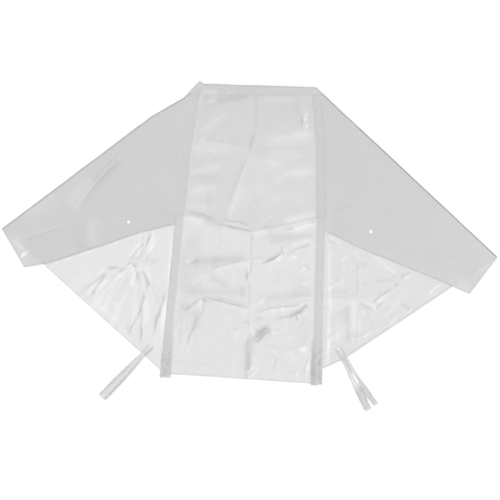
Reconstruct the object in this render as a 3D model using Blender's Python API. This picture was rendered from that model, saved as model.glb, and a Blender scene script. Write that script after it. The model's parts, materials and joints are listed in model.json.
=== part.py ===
"""Disposable barber cape of thin polythene film, laid flat with its neck edge towards +Y.

The cape is one film sheet and two film ties. The sheet's long front layer lies underneath. Along both
shoulders the sheet folds over, so a shorter back layer lies on top of it. Both layers are pleated along
the two sides of the centre panel, and the head goes through the slit between the two neck hems. Each
wing folds over the centre along a packing crease, and each tie is looped through a punched hole.

Each node is the stretch of film between two folds or creases. Film is far thinner than a solid can
usefully be, so FILM stands in for one layer. Units are metres, +Z is up, and the origin is the middle
of the whole outline, on the surface that the cape lies on.
"""
import math

import bmesh
import bpy
from mathutils import Vector

# Film
FILM = 0.0010            # stand-in thickness of one layer
HEM = 0.0016             # stand-in thickness of a turned and sealed hem
GAP = 0.0003             # clearance between neighbouring pieces
LAYER_GAP = 0.0005       # space between the layers inside a pleat

# Heights of the undersides; the front layer lies on the surface
PLEAT_HEIGHT = 3 * FILM + 2 * LAYER_GAP
BACK_SIDE_Z = FILM + GAP
BACK_PLEAT_Z = PLEAT_HEIGHT + GAP
BACK_TOP_Z = BACK_PLEAT_Z + PLEAT_HEIGHT
FOLD_HEIGHT = BACK_SIDE_Z + FILM
TIE_Z = FILM + GAP

# Neck edge, drawn from the apex of the left shoulder to the right one
NECK_APEX = (-0.1475, 0.4917)
NECK_LEFT = (-0.1386, 0.4828)
NECK_RIGHT = (0.1982, 0.4723)
NECK_HEM_Y = 0.450

# Bottom edge of the centre and the width of its hem
BOTTOM_LEFT_Y = -0.3800
BOTTOM_RIGHT_Y = -0.4095
BOTTOM_HEM_WIDTH = 0.026

# Shoulder folds, from the neck hem to the wing tips
SHOULDER_FOLD_WIDTH = 0.004
LEFT_TIP = (-0.7376, 0.0507)
RIGHT_TIP = (0.7376, -0.0328)
LEFT_SHOULDER = [(-0.1866, NECK_HEM_Y), (-0.1950, 0.4410), (-0.2900, 0.3870), LEFT_TIP]
RIGHT_SHOULDER = [(0.2220, NECK_HEM_Y), RIGHT_TIP]

# Lower edges of the two layers, from the wing tips inwards, and the height where each meets its pleat
LEFT_FRONT_EDGE = [LEFT_TIP, (-0.6450, -0.0250), (-0.5290, -0.1310)]
LEFT_FRONT_END_Y = -0.3690
RIGHT_FRONT_EDGE = [RIGHT_TIP, (0.6005, -0.1222), (0.2846, -0.3338)]
RIGHT_FRONT_END_Y = -0.3650
LEFT_BACK_EDGE = [LEFT_TIP, (-0.6705, -0.0626), (-0.5975, -0.0492), (-0.4366, 0.0030), (-0.3233, 0.0417)]
LEFT_BACK_END_Y = 0.0656
RIGHT_BACK_EDGE = [RIGHT_TIP, (0.6541, -0.1416), (0.5766, -0.1073), (0.3502, -0.0149)]
RIGHT_BACK_END_Y = 0.0447

# Lower edge of the back layer across the centre, which dips in a shallow V
BACK_LEFT_Y = 0.0954
BACK_DIP = [(-0.0760, 0.0685), (0.0075, 0.0447), (0.0909, 0.0626)]
BACK_RIGHT_Y = 0.0864

# Pleats: the inner edge of each, from the neck hem down to its loose end, and its width
LEFT_PLEAT = [(-0.1495, NECK_HEM_Y), (-0.1720, 0.3160), (-0.1957, 0.0954), (-0.2424, -0.3900)]
RIGHT_PLEAT = [(0.1863, NECK_HEM_Y), (0.1982, 0.3070), (0.1997, 0.0864), (0.1937, -0.1280), (0.1880, -0.4130)]
LEFT_PLEAT_WIDTH = 0.0245
RIGHT_PLEAT_WIDTH = 0.0265

# Packing creases: each wing turns about a line along Y at CREASE_X. The two heights stack the wings.
CREASE_X = 0.325
LEFT_CREASE_Z = 0.0057
RIGHT_CREASE_Z = 0.0071

# Punched holes
PUNCH_RADIUS = 0.0058
HOLE_SIDES = 24
LEFT_PUNCH = (-0.3606, 0.0715)
RIGHT_PUNCH = (0.3612, 0.0432)
LEFT_TIE_HOLE = (-0.2944, -0.3001)
RIGHT_TIE_HOLE = (0.2646, -0.3060)

# Ties: the way each one lies at rest, and for each tail its angle off that way, its length and end width
TIE_LOOP_RADIUS = 0.0035
TIE_NECK_WIDTH = 0.0084
LEFT_TIE_ANGLE = -133.2
LEFT_TAILS = [(-1.6, 0.2140, 0.0150), (1.6, 0.2080, 0.0150)]
LEFT_CROTCH = 0.182
RIGHT_TIE_ANGLE = -60.2
RIGHT_TAILS = [(-3.9, 0.2026, 0.0150), (3.9, 0.1990, 0.0150)]
RIGHT_CROTCH = 0.080

# Film colours: the more layers lie on each other, the greyer the film looks
ONE_LAYER = (0.84, 0.84, 0.84)
TWO_LAYERS = (0.76, 0.76, 0.76)
PLEATED = (0.70, 0.70, 0.70)
TIE_COLOUR = (0.80, 0.80, 0.80)
FILM_ROUGHNESS = 0.35


# ---------------------------------------------------------------- plane geometry
def crossing(path, axis, value):
    """The point where a polyline reaches the given X (axis 0) or Y (axis 1)."""
    for a, b in zip(path, path[1:]):
        if a[axis] != b[axis] and min(a[axis], b[axis]) <= value <= max(a[axis], b[axis]):
            share = (value - a[axis]) / (b[axis] - a[axis])
            return (a[0] + share * (b[0] - a[0]), a[1] + share * (b[1] - a[1]))
    raise ValueError("the path does not reach %g" % value)


def above(path, y):
    """The points of a polyline that lie above Y = y."""
    return [p for p in path if p[1] > y]


def split_at_crease(path, x):
    """The part of a polyline on the centre's side of X = x, and the part beyond it, in their own order."""
    cut = crossing(path, 0, x)
    near = [p for p in path if abs(p[0]) < abs(x)]
    far = [p for p in path if abs(p[0]) > abs(x)]
    if abs(path[0][0]) < abs(x):
        return near + [cut], [cut] + far
    return [cut] + near, far + [cut]


def moved_left(points, distance, closed):
    """A polyline moved to the left of its own direction by the distance, with mitred corners."""
    count = len(points)
    edges = []
    for i in range(count if closed else count - 1):
        a = Vector(points[i])
        along = (Vector(points[(i + 1) % count]) - a).normalized()
        edges.append((a + Vector((-along.y, along.x)) * distance, along))
    if not closed:
        edges.append((Vector(points[-1]) + Vector((-along.y, along.x)) * distance, along))
    moved = []
    for i, (base, along) in enumerate(edges):
        before, along_before = edges[i - 1]
        turn = along_before.cross(along)
        if abs(turn) < 1e-6 or (not closed and i == 0):
            moved.append((base.x, base.y))
            continue
        corner = before + along_before * ((base - before).cross(along) / turn)
        moved.append((corner.x, corner.y))
    return moved


def drawn_in(outline):
    """An outline run anticlockwise and shrunk by half the clearance, so that neighbours are GAP apart."""
    area = sum(Vector(a).cross(Vector(b)) for a, b in zip(outline, outline[1:] + outline[:1]))
    return moved_left(outline if area > 0 else outline[::-1], GAP / 2, closed=True)


# ---------------------------------------------------------------- objects
def film_material(name, colour):
    """Pale, slightly glossy polythene."""
    material = bpy.data.materials.new(name)
    material.use_nodes = True
    shader = material.node_tree.nodes["Principled BSDF"]
    shader.inputs["Base Color"].default_value = (*colour, 1.0)
    shader.inputs["Roughness"].default_value = FILM_ROUGHNESS
    shader.inputs["Metallic"].default_value = 0.0
    return material


def link(name, data, location=(0.0, 0.0, 0.0)):
    """A new object in the scene."""
    thing = bpy.data.objects.new(name, data)
    thing.location = location
    bpy.context.scene.collection.objects.link(thing)
    return thing


def finished_mesh(name, shape):
    """The bmesh as a mesh, with its faces pointing out."""
    bmesh.ops.recalc_face_normals(shape, faces=shape.faces)
    mesh = bpy.data.meshes.new(name)
    shape.to_mesh(mesh)
    shape.free()
    return mesh


def film_object(name, shape, colour):
    """A node made from a bmesh, with a material of its own."""
    mesh = finished_mesh(name, shape)
    mesh.materials.append(film_material(name + "_film", colour))
    return link(name, mesh)


def slab(outline, low, thickness):
    """A flat sheet of the given outline whose underside is at the height low."""
    shape = bmesh.new()
    face = shape.faces.new([shape.verts.new((x, y, low)) for x, y in outline])
    grown = bmesh.ops.extrude_face_region(shape, geom=[face])["geom"]
    lifted = [item for item in grown if isinstance(item, bmesh.types.BMVert)]
    bmesh.ops.translate(shape, verts=lifted, vec=(0.0, 0.0, thickness))
    return shape


def panel(name, outline, low, colour, thickness=FILM):
    """A flat stretch of film between folds."""
    return film_object(name, slab(drawn_in(outline), low, thickness), colour)


def round_tool(name, centre, radius, low, high):
    """A hidden round tool for a Boolean."""
    shape = bmesh.new()
    bmesh.ops.create_cone(shape, cap_ends=True, segments=HOLE_SIDES, radius1=radius, radius2=radius,
                          depth=high - low)
    tool = link(name, finished_mesh(name, shape), (centre[0], centre[1], (low + high) / 2))
    tool.hide_render = True
    tool.display_type = "WIRE"
    return tool


def use_tool(thing, tool, operation):
    """Cut a hole with a tool, or join the tool's own shape to the piece."""
    modifier = thing.modifiers.new(tool.name, "BOOLEAN")
    modifier.operation = operation
    modifier.solver = "EXACT"
    modifier.object = tool


# ---------------------------------------------------------------- centre
def on_pleats(y_left, y_right):
    """The points of the two pleats' inner edges at the given heights."""
    return crossing(LEFT_PLEAT, 1, y_left), crossing(RIGHT_PLEAT, 1, y_right)


def between_pleats(lower_edge):
    """The outline between the pleats, from the neck hem down to a lower edge run left to right."""
    left = above(LEFT_PLEAT, lower_edge[0][1])
    right = above(RIGHT_PLEAT, lower_edge[-1][1])
    return left + lower_edge + right[::-1]


def make_centre():
    """The centre panels of both layers, the two neck hems and the bottom hem."""
    neck = [NECK_APEX, NECK_LEFT, NECK_RIGHT, RIGHT_SHOULDER[0], LEFT_SHOULDER[0]]
    panel("front_neck_hem", neck, 0.0, TWO_LAYERS, HEM)
    panel("back_neck_hem", neck, BACK_TOP_Z - HEM, TWO_LAYERS, HEM)
    bottom = on_pleats(BOTTOM_LEFT_Y, BOTTOM_RIGHT_Y)
    hem_top = on_pleats(BOTTOM_LEFT_Y + BOTTOM_HEM_WIDTH, BOTTOM_RIGHT_Y + BOTTOM_HEM_WIDTH)
    panel("bottom_hem", [*bottom, *hem_top[::-1]], 0.0, TWO_LAYERS, HEM)
    panel("front_centre_panel", between_pleats(list(hem_top)), 0.0, ONE_LAYER)
    dip_left, dip_right = on_pleats(BACK_LEFT_Y, BACK_RIGHT_Y)
    back = between_pleats([dip_left, *BACK_DIP, dip_right])
    panel("back_centre_panel", back, BACK_TOP_Z - FILM, TWO_LAYERS)


# ---------------------------------------------------------------- pleats
def pleat_section(width):
    """A Z-fold of three layers, as points of (distance from the inner edge, height)."""
    first_top = FILM
    second = FILM + LAYER_GAP
    second_top = second + FILM
    third = second_top + LAYER_GAP
    chamfer = FILM / 2
    return [(0.0, 0.0), (width - chamfer, 0.0), (width, chamfer), (width, second_top - chamfer),
            (width - chamfer, second_top), (FILM, second_top), (FILM, third), (width, third),
            (width, PLEAT_HEIGHT), (chamfer, PLEAT_HEIGHT), (0.0, PLEAT_HEIGHT - chamfer),
            (0.0, second + chamfer), (chamfer, second), (width - FILM, second),
            (width - FILM, first_top), (0.0, first_top)]


def make_pleat(name, inner, width, side, low):
    """The Z-fold swept along its inner edge; side is -1 on the left and 1 on the right."""
    shape = bmesh.new()
    section = pleat_section(width - GAP)
    last = len(inner) - 1
    rings = []
    for i, (x, y) in enumerate(inner):
        clear = (-GAP / 2 if i == 0 else 0.0) + (GAP / 2 if i == last else 0.0)
        rings.append([shape.verts.new((x + side * (GAP / 2 + across), y + clear, low + up))
                      for across, up in section])
    for upper, lower in zip(rings, rings[1:]):
        for i in range(len(section)):
            shape.faces.new((upper[i - 1], upper[i], lower[i], lower[i - 1]))
    shape.faces.new(rings[0])
    shape.faces.new(rings[-1])
    return film_object(name, shape, PLEATED)


def make_pleats(side_name, side, inner, width, back_end_y):
    """The front layer's pleat runs the whole way down, and the back layer's stops at that layer's edge."""
    make_pleat(side_name + "_front_pleat", inner, width, side, 0.0)
    upper = above(inner, back_end_y) + [crossing(inner, 1, back_end_y)]
    make_pleat(side_name + "_back_pleat", upper, width, side, BACK_PLEAT_Z)


# ---------------------------------------------------------------- sides and wings
def make_side(side_name, side, shoulder, layers, pleat_edge, crease_z, punch, tie_hole):
    """The panels of both layers and the shoulder fold, split at the packing crease."""
    crease_x = side * CREASE_X
    pivot = link(side_name + "_wing_pivot", None, (crease_x, 0.0, crease_z))
    rim = moved_left(shoulder, -side * SHOULDER_FOLD_WIDTH, closed=False)
    shoulder_near, shoulder_far = split_at_crease(shoulder, crease_x)
    rim_near, rim_far = split_at_crease(rim, crease_x)
    panel(side_name + "_shoulder_fold", shoulder_near + rim_near[::-1], 0.0, PLEATED, FOLD_HEIGHT)
    on_wing = [panel(side_name + "_wing_fold", shoulder_far + rim_far[::-1], 0.0, PLEATED, FOLD_HEIGHT)]
    punch_tool = round_tool(side_name + "_punch", punch, PUNCH_RADIUS, -FILM, FOLD_HEIGHT + FILM)
    for layer, edge, end_y, low, colour in layers:
        lower_edge = edge + [crossing(pleat_edge, 1, end_y)]
        edge_near, edge_far = split_at_crease(lower_edge, crease_x)
        beside_pleat = above(pleat_edge, end_y)[::-1]
        inside = panel("%s_%s_side_panel" % (side_name, layer), rim_near + edge_near + beside_pleat, low,
                       colour)
        wing = panel("%s_%s_wing_panel" % (side_name, layer), rim_far + edge_far[1:], low, colour)
        use_tool(wing, punch_tool, "DIFFERENCE")
        on_wing.append(wing)
        if layer == "front":
            tie_tool = round_tool(side_name + "_tie_hole", tie_hole, PUNCH_RADIUS, -FILM, 2 * FILM)
            use_tool(inside, tie_tool, "DIFFERENCE")
    for piece in on_wing:
        piece.parent = pivot
        piece.location = -pivot.location


# ---------------------------------------------------------------- ties
def tie_outline(tails, crotch):
    """Two tails that leave one loop. X runs along the tie, from the axis of the hole it hangs in."""
    def on_tail(angle, distance, across):
        turn = math.radians(angle)
        return (distance * math.cos(turn) - across * math.sin(turn),
                distance * math.sin(turn) + across * math.cos(turn))

    half_neck = TIE_NECK_WIDTH / 2
    (low_angle, low_length, low_width), (high_angle, high_length, high_width) = tails
    return [(-half_neck, -half_neck * 0.6), (half_neck, -half_neck),
            on_tail(low_angle, low_length, -low_width / 2),
            on_tail(low_angle, low_length - low_width * 0.4, low_width / 2),
            (crotch, 0.0),
            on_tail(high_angle, high_length - high_width * 0.4, -high_width / 2),
            on_tail(high_angle, high_length, high_width / 2),
            (half_neck, half_neck), (-half_neck, half_neck * 0.6)]


def make_tie(name, hole, angle, tails, crotch):
    """A film tie that turns about the axis of the punched hole it is looped through."""
    pivot = link(name + "_pivot", None, (hole[0], hole[1], TIE_Z))
    strip = film_object(name, slab(tie_outline(tails, crotch), 0.0, FILM), TIE_COLOUR)
    strip.parent = pivot
    strip.rotation_euler.z = math.radians(angle)
    use_tool(strip, round_tool(name + "_loop", hole, TIE_LOOP_RADIUS, 0.0, TIE_Z + FILM / 2), "UNION")


def main():
    """Build the whole cape."""
    for thing in list(bpy.data.objects):
        bpy.data.objects.remove(thing)
    make_centre()
    make_pleats("left", -1, LEFT_PLEAT, LEFT_PLEAT_WIDTH, BACK_LEFT_Y)
    make_pleats("right", 1, RIGHT_PLEAT, RIGHT_PLEAT_WIDTH, BACK_RIGHT_Y)
    left_layers = (("front", LEFT_FRONT_EDGE, LEFT_FRONT_END_Y, 0.0, ONE_LAYER),
                   ("back", LEFT_BACK_EDGE, LEFT_BACK_END_Y, BACK_SIDE_Z, TWO_LAYERS))
    right_layers = (("front", RIGHT_FRONT_EDGE, RIGHT_FRONT_END_Y, 0.0, ONE_LAYER),
                    ("back", RIGHT_BACK_EDGE, RIGHT_BACK_END_Y, BACK_SIDE_Z, TWO_LAYERS))
    left_pleat_edge = [(x - LEFT_PLEAT_WIDTH, y) for x, y in LEFT_PLEAT]
    right_pleat_edge = [(x + RIGHT_PLEAT_WIDTH, y) for x, y in RIGHT_PLEAT]
    make_side("left", -1, LEFT_SHOULDER, left_layers, left_pleat_edge, LEFT_CREASE_Z, LEFT_PUNCH,
              LEFT_TIE_HOLE)
    make_side("right", 1, RIGHT_SHOULDER, right_layers, right_pleat_edge, RIGHT_CREASE_Z, RIGHT_PUNCH,
              RIGHT_TIE_HOLE)
    make_tie("left_tie", LEFT_TIE_HOLE, LEFT_TIE_ANGLE, LEFT_TAILS, LEFT_CROTCH)
    make_tie("right_tie", RIGHT_TIE_HOLE, RIGHT_TIE_ANGLE, RIGHT_TAILS, RIGHT_CROTCH)


main()
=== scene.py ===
"""Looks of the disposable barber cape: thin polythene film laid flat, with creases, pleats and film ties.

Every sheet of film takes its outline from the CAD panels that it replaces. Its creases are paths, given in
metres on the flat cape; the film rises along them, and its colour gets painted shade and painted highlights
there.
"""
import json
import math

import bpy
import numpy as np
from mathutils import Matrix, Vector
from mathutils.geometry import delaunay_2d_cdt


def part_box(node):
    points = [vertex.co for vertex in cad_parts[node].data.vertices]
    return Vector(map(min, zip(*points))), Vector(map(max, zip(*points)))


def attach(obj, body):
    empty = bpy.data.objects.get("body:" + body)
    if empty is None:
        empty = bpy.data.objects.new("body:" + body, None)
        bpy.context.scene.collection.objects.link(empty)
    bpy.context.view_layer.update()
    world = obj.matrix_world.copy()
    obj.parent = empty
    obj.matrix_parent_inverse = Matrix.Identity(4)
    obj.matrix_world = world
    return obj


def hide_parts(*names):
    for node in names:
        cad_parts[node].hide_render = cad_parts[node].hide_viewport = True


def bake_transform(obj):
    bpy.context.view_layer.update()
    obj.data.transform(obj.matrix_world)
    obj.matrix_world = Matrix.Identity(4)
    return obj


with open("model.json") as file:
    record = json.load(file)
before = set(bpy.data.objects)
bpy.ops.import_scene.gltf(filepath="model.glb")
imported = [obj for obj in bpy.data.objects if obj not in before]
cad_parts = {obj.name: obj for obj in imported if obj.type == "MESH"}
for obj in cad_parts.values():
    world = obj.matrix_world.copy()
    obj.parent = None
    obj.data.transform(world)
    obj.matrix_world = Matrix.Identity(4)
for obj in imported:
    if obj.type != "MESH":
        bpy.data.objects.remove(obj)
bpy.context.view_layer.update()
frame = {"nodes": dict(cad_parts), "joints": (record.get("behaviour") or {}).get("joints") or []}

# ---------------------------------------------------------------- driving values, in metres
SPACING = 0.0034      # distance between the points of a sheet
CREASE_STEP = 0.0024                            # distance between the points along a crease
CREASE_FLANK = 0.0016                           # a crease has a second and third row of points this far off
OUTLINE_STEP = 0.0012                           # distance between the points along an outline that curves
RIM_STEP = 0.0015                               # and along a cut edge, where its darker colour is measured from
FEW_CORNERS = 12                                # an outline with fewer corners has long straight stretches
WELD = 0.0003                                   # points closer than this become one
FLOOR_Z = -0.0004
VIEW_CENTRE = (0.0015, -0.0119)                 # the point of the cape right under the camera
VIEW_SPAN = 1.49                                # width of the floor in the picture

# Heights at which the sheets lie before any wrinkle
FRONT_Z = 0.0005
BACK_RISE = 0.0012                              # the back layer's height over the front one, on the sides
BACK_CENTRE_Z = 0.0036
PLY_STEP = 0.0005                               # from one ply of a pleat to the next
TIE_Z = 0.0012

SEAM_COVER = 0.0006                             # neighbouring sheets reach this far past their CAD outlines
SHOULDER_WIDTH = 0.0042
SHOULDER_SPACING = 0.0013
SHOULDER_EDGE = -0.62                           # how much denser a shoulder fold looks along its outer edge

# Film: one ply, and two plies that lie together
ONE_PLY = {"grey": 0.748, "alpha": 0.52}
TWO_PLIES = {"grey": 0.685, "alpha": 0.73}


# ---------------------------------------------------------------- outlines from the frame
def area_of(loop):
    """Signed area of a closed outline."""
    p = np.array(loop)
    q = np.roll(p, -1, axis=0)
    return float(np.sum(p[:, 0] * q[:, 1] - q[:, 0] * p[:, 1]) / 2)


def plan_loops(node, top=False):
    """The outlines of a CAD node's flat underside or top: the outer loop first, then its holes."""
    mesh = frame["nodes"][node].data
    mesh.calc_loop_triangles()
    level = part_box(node)[1 if top else 0][2]
    place = {}
    edges = set()
    for triangle in mesh.loop_triangles:
        corners = [mesh.vertices[i].co for i in triangle.vertices]
        if any(abs(c.z - level) > 0.0002 for c in corners):
            continue
        keys = [(round(c.x, 5), round(c.y, 5)) for c in corners]
        place.update((key, (c.x, c.y)) for key, c in zip(keys, corners))
        for a, b in zip(keys, keys[1:] + keys[:1]):
            if (b, a) in edges:
                edges.remove((b, a))
            elif a != b:
                edges.add((a, b))
    follows = dict(sorted(edges))
    loops = []
    while follows:
        start, here = follows.popitem()
        loop = [place[start]]
        while here != start:
            loop.append(place[here])
            here = follows.pop(here)
        loops.append(loop)
    return sorted(loops, key=lambda loop: -abs(area_of(loop)))


def rails(node):
    """The two edges of a swept CAD node, as (y, lowest x, highest x) from the top down."""
    rows = {}
    for v in frame["nodes"][node].data.vertices:
        rows.setdefault(round(v.co.y, 4), []).append(v.co.x)
    return [(y, min(xs), max(xs)) for y, xs in sorted(rows.items(), reverse=True)]


# ---------------------------------------------------------------- plane geometry
def inside(points, loop):
    """Which points lie inside a closed outline."""
    x, y = points[:, 0], points[:, 1]
    result = np.zeros(len(points), bool)
    for (x0, y0), (x1, y1) in zip(loop, loop[1:] + loop[:1]):
        if y0 != y1:
            result ^= ((y0 > y) != (y1 > y)) & (x < (x1 - x0) * (y - y0) / (y1 - y0) + x0)
    return result


def stepped(path, step, closed=False):
    """A path with points at most a step apart."""
    ends = path[1:] + path[:1] if closed else path[1:]
    out = []
    for a, b in zip(path, ends):
        a, b = np.array(a), np.array(b)
        count = max(1, int(math.ceil(np.linalg.norm(b - a) / step)))
        out += [tuple(a + (b - a) * i / count) for i in range(count)]
    return out if closed else out + [tuple(path[-1])]


def from_path(points, path):
    """Each point's distance from the path, positive on the path's left, and its share of the way along."""
    path = np.array(path, float)
    lengths = np.linalg.norm(np.diff(path, axis=0), axis=1)
    starts = np.concatenate([[0.0], np.cumsum(lengths)])
    nearest = np.full(len(points), np.inf)
    signed = np.zeros(len(points))
    share = np.zeros(len(points))
    for a, b, length, start in zip(path, path[1:], lengths, starts):
        along = (b - a) / length
        offset = points - a
        t = np.clip(offset @ along, 0.0, length)
        rest = offset - t[:, None] * along
        distance = np.hypot(rest[:, 0], rest[:, 1])
        closer = distance < nearest
        side = np.where(along[0] * offset[:, 1] - along[1] * offset[:, 0] >= 0.0, 1.0, -1.0)
        nearest[closer] = distance[closer]
        signed[closer] = (distance * side)[closer]
        share[closer] = ((start + t) / starts[-1])[closer]
    return signed, share


def distance_to(points, targets, reach):
    """Distance to the nearest target, or reach where none is nearer, looked up in square cells."""
    cells = {}
    for target in targets:
        cells.setdefault((int(target[0] // reach), int(target[1] // reach)), []).append(target)
    cells = {key: np.array(value) for key, value in cells.items()}
    members = {}
    for i, (x, y) in enumerate(points):
        members.setdefault((int(x // reach), int(y // reach)), []).append(i)
    out = np.full(len(points), reach)
    for (cx, cy), group in members.items():
        near = [cells[(cx + dx, cy + dy)] for dx in (-1, 0, 1) for dy in (-1, 0, 1)
                if (cx + dx, cy + dy) in cells]
        if near:
            gaps = points[group][:, None, :] - np.concatenate(near)[None, :, :]
            out[group] = np.minimum(reach, np.sqrt((gaps ** 2).sum(axis=2)).min(axis=1))
    return out


def grown(loop, distance):
    """An outline moved outwards, so that neighbouring sheets meet."""
    sign = math.copysign(distance, area_of(loop))
    out = []
    for before, here, after in zip(loop[-1:] + loop[:-1], loop, loop[1:] + loop[:1]):
        first = (Vector(here) - Vector(before)).normalized()
        second = (Vector(after) - Vector(here)).normalized()
        normal = Vector((first.y + second.y, -first.x - second.x))
        share = 2.0 / max(normal.length_squared, 0.2)
        out.append(tuple(Vector(here) + normal * sign * share))
    return out


def sheet_mesh(outers, holes, creases, spacing):
    """Points and triangles of a flat sheet inside the outer loops, with rows of points along its creases."""
    points, edges = [], []
    for loop in outers + holes:
        ring = stepped(loop, spacing if len(loop) < FEW_CORNERS else OUTLINE_STEP, closed=True)
        first = len(points)
        points += ring
        edges += [(first + i, first + (i + 1) % len(ring)) for i in range(len(ring))]

    def on_sheet(places):
        keep = np.zeros(len(places), bool)
        for loop in outers:
            keep |= inside(places, loop)
        for loop in holes:
            keep &= ~inside(places, loop)
        return keep

    rim = np.array(points)
    taken = rim
    low, high = rim.min(axis=0), rim.max(axis=0)
    lines = crease_points(creases, low, high)
    if len(lines):
        lines = lines[on_sheet(lines)]
        lines = lines[distance_to(lines, rim, spacing) > OUTLINE_STEP]
        taken = np.concatenate([rim, lines])
    rows = np.arange(low[1], high[1], spacing * math.sqrt(3) / 2)
    grid = np.concatenate([np.column_stack([xs, np.full(len(xs), y)]) for xs, y in (
        (np.arange(low[0] + spacing * 0.5 * (i % 2), high[0], spacing), y) for i, y in enumerate(rows))])
    grid = grid[on_sheet(grid)]
    grid = grid[distance_to(grid, taken, spacing) > spacing * 0.5]
    places = [Vector(p) for p in np.concatenate([taken, grid])]
    made = delaunay_2d_cdt(places, edges, [], 1, WELD)
    verts = np.array([(v.x, v.y) for v in made[0]])
    triangles = np.array([f for f in made[2] if len(f) == 3])
    return verts, triangles[on_sheet(verts[triangles].mean(axis=1))]


# ---------------------------------------------------------------- noise
def noise(x, y, seed):
    """Smooth noise from about -1 to 1, with one feature to a unit."""
    turns = np.random.default_rng(seed).uniform(0.0, 2.0 * math.pi, (64, 64))
    cell_x, cell_y = np.floor(x).astype(int), np.floor(y).astype(int)
    fx, fy = x - cell_x, y - cell_y
    u, v = fx * fx * (3 - 2 * fx), fy * fy * (3 - 2 * fy)

    def corner(i, j):
        angle = turns[(cell_x + i) % 64, (cell_y + j) % 64]
        return np.cos(angle) * (fx - i) + np.sin(angle) * (fy - j)

    upper = corner(0, 1) * (1 - u) + corner(1, 1) * u
    lower = corner(0, 0) * (1 - u) + corner(1, 0) * u
    return 1.5 * (lower * (1 - v) + upper * v)


def crumple(p, angle, across, along, seed):
    """Sharp ridges that run roughly along an angle, from 0 between them to 1 on them."""
    turn = math.radians(angle)
    u = p[:, 0] * math.cos(turn) + p[:, 1] * math.sin(turn)
    v = p[:, 1] * math.cos(turn) - p[:, 0] * math.sin(turn)
    bend = 0.6 * noise(u / along * 1.7, v / across * 0.5, seed + 1)
    return 1.0 - np.clip(np.abs(noise(u / along, v / across + bend, seed)) * 2.2, 0.0, 1.0)


def smooth(value, low, high):
    """0 below low, 1 above high and smooth between; high may lie below low."""
    t = np.clip((value - low) / (high - low), 0.0, 1.0)
    return t * t * (3 - 2 * t)


# ---------------------------------------------------------------- creases
# A crease's kind says how far the film rises along it, how fast that dies away, and how much painted shade
# (below 0) or painted light (above 0) its colour gets on the path's left and right, and over what width. The
# darkening along a crease is partly film lying doubled and partly painted shade; kinds with a dark and a
# light side paint a shaded and a lit flank, glint and light are painted highlights, and shade, patch and dim
# are painted shade.
KINDS = {
    "sharp": {"rise": 0.0008, "reach": 0.006, "left": (-0.30, 0.0034), "right": (-0.30, 0.0034)},
    "line": {"rise": 0.0006, "reach": 0.006, "left": (-0.15, 0.0034), "right": (-0.15, 0.0034)},
    "faint": {"rise": 0.0004, "reach": 0.006, "left": (-0.06, 0.0050), "right": (-0.03, 0.0050)},
    "weak": {"rise": 0.0006, "reach": 0.008, "left": (0.18, 0.0036), "right": (-0.07, 0.0060)},
    "fold": {"rise": 0.0012, "reach": 0.010, "left": (-0.27, 0.0055), "right": (0.34, 0.0075)},
    "step": {"rise": 0.0014, "reach": 0.010, "left": (-0.21, 0.0090), "right": (0.15, 0.0260)},
    "brow": {"rise": 0.0018, "reach": 0.012, "left": (-0.15, 0.0200), "right": (0.24, 0.0120)},
    "glint": {"rise": 0.0010, "reach": 0.006, "left": (0.42, 0.0032), "right": (0.42, 0.0032)},
    "soft": {"rise": 0.0028, "reach": 0.016, "left": (-0.06, 0.0110), "right": (0.06, 0.0110)},
    "shade": {"rise": 0.0000, "reach": 0.010, "left": (-0.13, 0.0110), "right": (-0.13, 0.0110)},
    "patch": {"rise": 0.0010, "reach": 0.010, "left": (-0.24, 0.0080), "right": (-0.24, 0.0080)},
    "light": {"rise": 0.0005, "reach": 0.014, "left": (0.32, 0.0085), "right": (0.32, 0.0085)},
    "dim": {"rise": 0.0000, "reach": 0.020, "left": (-0.08, 0.0260), "right": (-0.08, 0.0260)},
    # Painted light over a wide band.
    "broad_light": {"rise": 0.0003, "reach": 0.024, "left": (0.18, 0.0260), "right": (0.18, 0.0260)},
}
DARKEST = -0.44                                 # creases that cross darken a ply no further than this
NARROW = 0.007                                  # a crease wider than this needs no points of its own


def crease_points(creases, low, high):
    """Rows of points along every narrow crease, and along both its flanks."""
    out = []
    for path in [path for kind in creases if KINDS[kind]["left"][1] <= NARROW for path in creases[kind]]:
        line = np.array(stepped(path, CREASE_STEP))
        ahead = np.gradient(line, axis=0)
        ahead /= np.maximum(np.linalg.norm(ahead, axis=1), 1e-9)[:, None]
        aside = np.column_stack([-ahead[:, 1], ahead[:, 0]]) * CREASE_FLANK
        out += [line, line + aside, line - aside]
    if not out:
        return np.zeros((0, 2))
    out = np.concatenate(out)
    return out[((out > low) & (out < high)).all(axis=1)]


def relief(points, creases):
    """The height and the shade that the creases give a sheet at its points."""
    height = np.zeros(len(points))
    shade = np.zeros(len(points))
    for kind, path in [(kind, path) for kind in creases for path in creases[kind]]:
        k = KINDS[kind]
        reach = 3.0 * max(k["reach"], k["left"][1], k["right"][1])
        corners = np.array(path)
        near = ((points > corners.min(axis=0) - reach) & (points < corners.max(axis=0) + reach)).all(axis=1)
        if not near.any():
            continue
        signed, share = from_path(points[near], path)
        distance = np.abs(signed)
        taper = np.clip(np.minimum(share, 1.0 - share) * 5.0, 0.0, 1.0) ** 0.6
        height[near] += k["rise"] * taper * np.exp(-(distance / k["reach"]) ** 1.3)
        strength, width = np.where((signed >= 0.0)[:, None], k["left"], k["right"]).T
        shade[near] += strength * taper * np.exp(-(distance / width) ** 1.5)
    return height, np.maximum(shade, DARKEST)


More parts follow.
